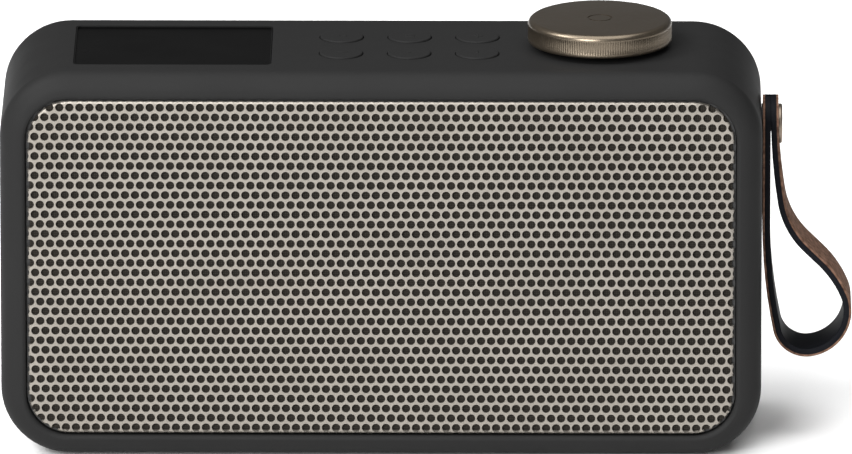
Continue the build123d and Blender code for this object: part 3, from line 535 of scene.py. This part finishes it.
def select_rim(piece, middle, height, radius, slack=0.05 * mm):
    """Selects the ring of edges at that height and radius."""
    select_no_parts(piece)
    on_rim = [
        abs(v.co.z - height) < slack
        and abs(math.hypot(v.co.x - middle.x, v.co.y - middle.y) - radius) < slack
        for v in piece.data.vertices
    ]
    for edge in piece.data.edges:
        edge.select = on_rim[edge.vertices[0]] and on_rim[edge.vertices[1]]
    bpy.ops.object.mode_set(mode="EDIT")
    bpy.ops.mesh.select_mode(type="EDGE")


select_rim(knob, knob_middle, knob_high.z, knob_radius)
bpy.ops.mesh.bevel(offset=knob_edge, segments=7)
select_rim(knob, knob_middle, knob_low.z, knob_radius)
bpy.ops.mesh.bevel(offset=knob_lower_edge, segments=3)
for height in (knurl_from, knurl_from + knurl_run_out, knurl_to - knurl_run_out, knurl_to):
    bpy.ops.mesh.select_all(action="SELECT")
    bpy.ops.mesh.bisect(plane_co=(0, 0, height), plane_no=(0, 0, 1))
bpy.ops.object.mode_set(mode="OBJECT")
for vertex in knob.data.vertices:
    from_axis = Vector((vertex.co.x - knob_middle.x, vertex.co.y - knob_middle.y))
    knurled = knurl_from + knurl_run_out / 2 < vertex.co.z < knurl_to - knurl_run_out / 2
    if knurled and from_axis.length > knob_radius - 0.05 * mm:
        turn = math.atan2(from_axis.y, from_axis.x) * knurl_ridges
        cut = knurl_depth * (0.5 - 0.5 * math.cos(turn))
        vertex.co.x -= from_axis.x / from_axis.length * cut
        vertex.co.y -= from_axis.y / from_axis.length * cut
bpy.ops.object.shade_smooth_by_angle(angle=math.radians(35))

bronze = finish_of("bronze_anodising", colour(99, 90, 78), 0.3, metallic=0.9, specular=0.3)
shade_between(bronze, colour(96, 87, 75), colour(102, 93, 81), 60)
shade_between(bronze, 0.28, 0.33, 500, socket="Roughness")
relief(bronze, noise_in(bronze, 3000, 1.0).outputs["Fac"], 0.006 * mm, 0.5)
knob.data.materials.append(bronze)
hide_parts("knob")
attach(knob, "knob")

# ------------------------------------------------------------------ leather strap
# One band of black-faced leather, folded with its grain side inwards and held by a screw
# through both ends. Its flesh side is brown suede, and its edges are painted black except
# for a thin line of bare suede. It is bent from flat: straight runs joined by round bends.

strap_low, strap_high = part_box("leather_strap")
band_thickness = 1.95 * mm
suede_share = 0.28              # of the thickness that is left brown
layer_gap = 0.02 * mm
skin_step = 0.03 * mm           # the suede is that much narrower than the skin each side
band_round = 0.08 * mm
band_straight = 32.2 * mm
band_bends = ((129.5, 11.95), (7.54, 88.75), (10.86, 102.95), (26.8, 22.1))   # mm, degrees
back_radius = 21.7 * mm
lean_radius = 147 * mm
lean_degrees = 9.0
band_middle_y = (strap_low.y + strap_high.y) / 2
band_half_width = (strap_high.y - strap_low.y) / 2
screw_low, screw_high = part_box("strap_screw")
screw_z = (screw_low.z + screw_high.z) / 2


def bent_band(name, from_side, to_side, half_width):
    """One layer of the band, between two distances from its middle; the flesh side is negative."""
    start_x = strap_low.x + band_thickness / 2
    start_piece()
    bpy.ops.mesh.primitive_plane_add(
        size=1, location=(start_x + (from_side + to_side) / 2, band_middle_y, strap_high.z)
    )
    band = bpy.context.object
    band.name = name
    band.scale = (to_side - from_side, 2 * half_width, 1)
    bpy.ops.object.transform_apply()
    bpy.ops.object.mode_set(mode="EDIT")
    bpy.ops.mesh.select_all(action="SELECT")
    bpy.ops.mesh.subdivide(number_cuts=1)
    at = Vector((start_x, band_middle_y, strap_high.z))
    heading = -90.0

    def run(length):
        ahead = Vector((math.cos(math.radians(heading)), 0, math.sin(math.radians(heading))))
        bpy.ops.mesh.extrude_region_move(TRANSFORM_OT_translate={"value": ahead * length})
        return at + ahead * length

    def bend(radius, degrees):
        side = 1 if degrees > 0 else -1
        towards = math.radians(heading + 90 * side)
        centre = at + Vector((math.cos(towards), 0, math.sin(towards))) * radius
        bpy.ops.mesh.spin(
            steps=max(6, int(abs(degrees) / 3)),
            angle=math.radians(abs(degrees)),
            center=centre,
            axis=(0, side, 0),
        )
        leave = math.radians(heading + degrees - 90 * side)
        return centre + Vector((math.cos(leave), 0, math.sin(leave))) * radius

    at = run(band_straight)
    for radius, degrees in band_bends:
        at = bend(radius * mm, degrees)
        heading += degrees
    # A short straight run brings the last bend in beside the first layer
    beside_x = start_x + band_thickness + layer_gap
    slope = math.radians(heading)
    leaning = math.radians(90 + lean_degrees)
    back_x = beside_x + lean_radius * (1 - math.sin(leaning))
    run_x = back_x + back_radius * (math.sin(leaning) - math.sin(slope)) - at.x
    at = run(run_x / math.cos(slope))
    at = bend(back_radius, 90 + lean_degrees - heading)
    heading = 90 + lean_degrees
    at = bend(lean_radius, -lean_degrees)
    heading = 90.0
    run(strap_high.z - at.z)
    # Both ends are cut round about the screw
    end_centre = Vector((start_x, band_middle_y, screw_z))
    for angle in range(10, 171, 10):
        outward = Vector((0, math.cos(math.radians(angle)), math.sin(math.radians(angle))))
        bpy.ops.mesh.select_all(action="SELECT")
        bpy.ops.mesh.bisect(
            plane_co=end_centre + outward * half_width,
            plane_no=outward,
            clear_outer=True,
            use_fill=True,
        )
    bpy.ops.mesh.select_all(action="SELECT")
    bpy.ops.mesh.remove_doubles(threshold=0.01 * mm)
    bpy.ops.mesh.normals_make_consistent(inside=False)
    bpy.ops.object.mode_set(mode="OBJECT")
    return band


skin_edge = -band_thickness / 2 + band_thickness * suede_share
grain_band = bent_band("strap_grain", skin_edge, band_thickness / 2, band_half_width)
suede_band = bent_band("strap_suede", -band_thickness / 2, skin_edge, band_half_width - skin_step)
for band in (grain_band, suede_band):
    start_piece()
    band.select_set(True)
    bpy.context.view_layer.objects.active = band
    edge = band.modifiers.new("edge", "BEVEL")
    edge.width = band_round
    edge.segments = 3
    edge.limit_method = "ANGLE"
    edge.angle_limit = math.radians(50)
    bpy.ops.object.modifier_apply(modifier=edge.name)
    bpy.ops.object.shade_smooth_by_angle(angle=math.radians(35))
    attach(band, "strap")
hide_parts("leather_strap")

grain_leather = finish_of("black_grain_leather", colour(10, 11, 15), 0.6, specular=0.07)
shade_between(grain_leather, colour(8, 9, 13), colour(13, 14, 18), 350)
pores = grain_leather.node_tree.nodes.new("ShaderNodeTexVoronoi")
pores.feature = "DISTANCE_TO_EDGE"
pores.inputs["Scale"].default_value = 1500
pore_place = grain_leather.node_tree.nodes.new("ShaderNodeTexCoord")
grain_leather.node_tree.links.new(pore_place.outputs["Object"], pores.inputs["Vector"])
relief(grain_leather, pores.outputs["Distance"], 0.05 * mm, 0.5)
relief(grain_leather, noise_in(grain_leather, 260).outputs["Fac"], 0.1 * mm, 0.4)
grain_band.data.materials.append(grain_leather)

suede = finish_of("brown_suede", colour(92, 69, 57), 0.95, specular=0.1)
shade_between(suede, colour(64, 45, 35), colour(118, 91, 76), 700, detail=8.0)
relief(suede, noise_in(suede, 2600, 6.0, (1, 1, 0.35)).outputs["Fac"], 0.12 * mm, 0.9)
suede_band.data.materials.append(suede)

champagne = finish_of("champagne_anodising", colour(128, 117, 105), 0.4, metallic=1.0)
shade_between(champagne, colour(122, 111, 99), colour(134, 123, 111), 400)
relief(champagne, noise_in(champagne, 2600, 1.0).outputs["Fac"], 0.008 * mm, 0.5)
dress(champagne, "strap_screw")

# ------------------------------------------------------------------ aerial
# Five chrome-plated brass tubes, one inside another, on a knuckle that tilts in a plastic
# fork. The fork turns in a small round mount on the rear cover. It is drawn folded.

chrome = finish_of("chrome_plate", colour(214, 214, 216), 0.12, metallic=1.0)
shade_between(chrome, 0.08, 0.2, 220, socket="Roughness", stretch=(0.15, 1, 1))
relief(chrome, noise_in(chrome, 1800, 1.0, (0.05, 1, 1)).outputs["Fac"], 0.003 * mm, 0.4)
dress(chrome, *[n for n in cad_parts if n.startswith("aerial_section_")], "aerial_knuckle")

moulded_black = finish_of("moulded_black", colour(38, 38, 38), 0.5, specular=0.35)
shade_between(moulded_black, colour(34, 34, 34), colour(42, 42, 42), 300)
relief(moulded_black, noise_in(moulded_black, 2400, 2.0).outputs["Fac"], 0.03 * mm, 0.5)
dress(moulded_black, "aerial_mount", "aerial_swivel")

# ------------------------------------------------------------------ screws and steel pieces
# Zinc-plated steel for the pins, nuts, screws and cans inside the case. The screws at the
# back, the strap's washer and the speakers' baskets are pressed or turned steel, blackened.

zinc = finish_of("zinc_plate", colour(178, 178, 174), 0.38, metallic=1.0)
shade_between(zinc, colour(160, 160, 156), colour(192, 192, 188), 500)
relief(zinc, noise_in(zinc, 2500).outputs["Fac"], 0.01 * mm, 0.5)
dress(zinc, "baffle_screws", "board_screws", "strap_nut", "aerial_nut", "encoder_shaft")
dress(zinc, "usb_socket", "aerial_pin", "radio_module")

black_oxide = finish_of("black_oxide", colour(44, 44, 46), 0.42, metallic=0.8)
shade_between(black_oxide, colour(36, 36, 38), colour(54, 54, 56), 700)
relief(black_oxide, noise_in(black_oxide, 2500).outputs["Fac"], 0.01 * mm, 0.5)
dress(black_oxide, "rear_cover_screws", "strap_washer", "left_driver_basket", "right_driver_basket")

# ------------------------------------------------------------------ baffle and speakers
# Black mouldings, two paper cones with rubber surrounds, and their ferrite magnets, all
# out of sight behind the cloth. The pad that the radio stands on is the same rubber.

dress(moulded_black, "front_baffle", "bass_port")

paper = finish_of("cone_paper", colour(48, 47, 45), 0.9, specular=0.2)
shade_between(paper, colour(40, 39, 37), colour(60, 58, 55), 1200, detail=5.0)
relief(paper, noise_in(paper, 1600, 5.0).outputs["Fac"], 0.08 * mm, 0.8)
dress(paper, "left_driver_cone", "right_driver_cone")

rubber = finish_of("black_rubber", colour(32, 32, 32), 0.7, specular=0.3)
shade_between(rubber, colour(28, 28, 28), colour(38, 38, 38), 200)
relief(rubber, noise_in(rubber, 1500, 2.0).outputs["Fac"], 0.03 * mm, 0.5)
dress(rubber, "left_driver_surround", "right_driver_surround", "base_pad")

ferrite = finish_of("ferrite", colour(58, 58, 60), 0.6, metallic=0.2)
shade_between(ferrite, colour(50, 50, 52), colour(68, 68, 70), 600)
relief(ferrite, noise_in(ferrite, 1400).outputs["Fac"], 0.04 * mm, 0.6)
dress(ferrite, "left_driver_magnet", "right_driver_magnet")

# ------------------------------------------------------------------ boards and battery
# Green boards with paler copper runs under the lacquer, black moulded switches and sockets
# on them, and two cells in a blue sleeve in a black tray.

board_green = finish_of("board_lacquer", colour(24, 84, 52), 0.35)
copper_runs = board_green.node_tree.nodes.new("ShaderNodeTexBrick")
copper_runs.inputs["Scale"].default_value = 220
copper_runs.inputs["Color1"].default_value = (*colour(22, 80, 50), 1)
copper_runs.inputs["Color2"].default_value = (*colour(28, 92, 58), 1)
copper_runs.inputs["Mortar"].default_value = (*colour(52, 124, 80), 1)
run_place = board_green.node_tree.nodes.new("ShaderNodeTexCoord")
board_green.node_tree.links.new(run_place.outputs["Object"], copper_runs.inputs["Vector"])
board_green.node_tree.links.new(
    copper_runs.outputs["Color"], board_green.node_tree.nodes["Principled BSDF"].inputs["Base Color"]
)
relief(board_green, copper_runs.outputs["Fac"], 0.03 * mm, 0.5)
dress(board_green, "main_board", "keypad_board")
dress(moulded_black, "tact_switches", "encoder_body", "aux_socket", "board_components")
dress(moulded_black, "battery_tray", "encoder_plunger", "knob_insert")

sleeve = finish_of("cell_sleeve", colour(38, 84, 150), 0.3)
shade_between(sleeve, colour(34, 78, 142), colour(44, 92, 160), 120)
relief(sleeve, noise_in(sleeve, 300, 3.0).outputs["Fac"], 0.05 * mm, 0.4)
dress(sleeve, "battery_cells")
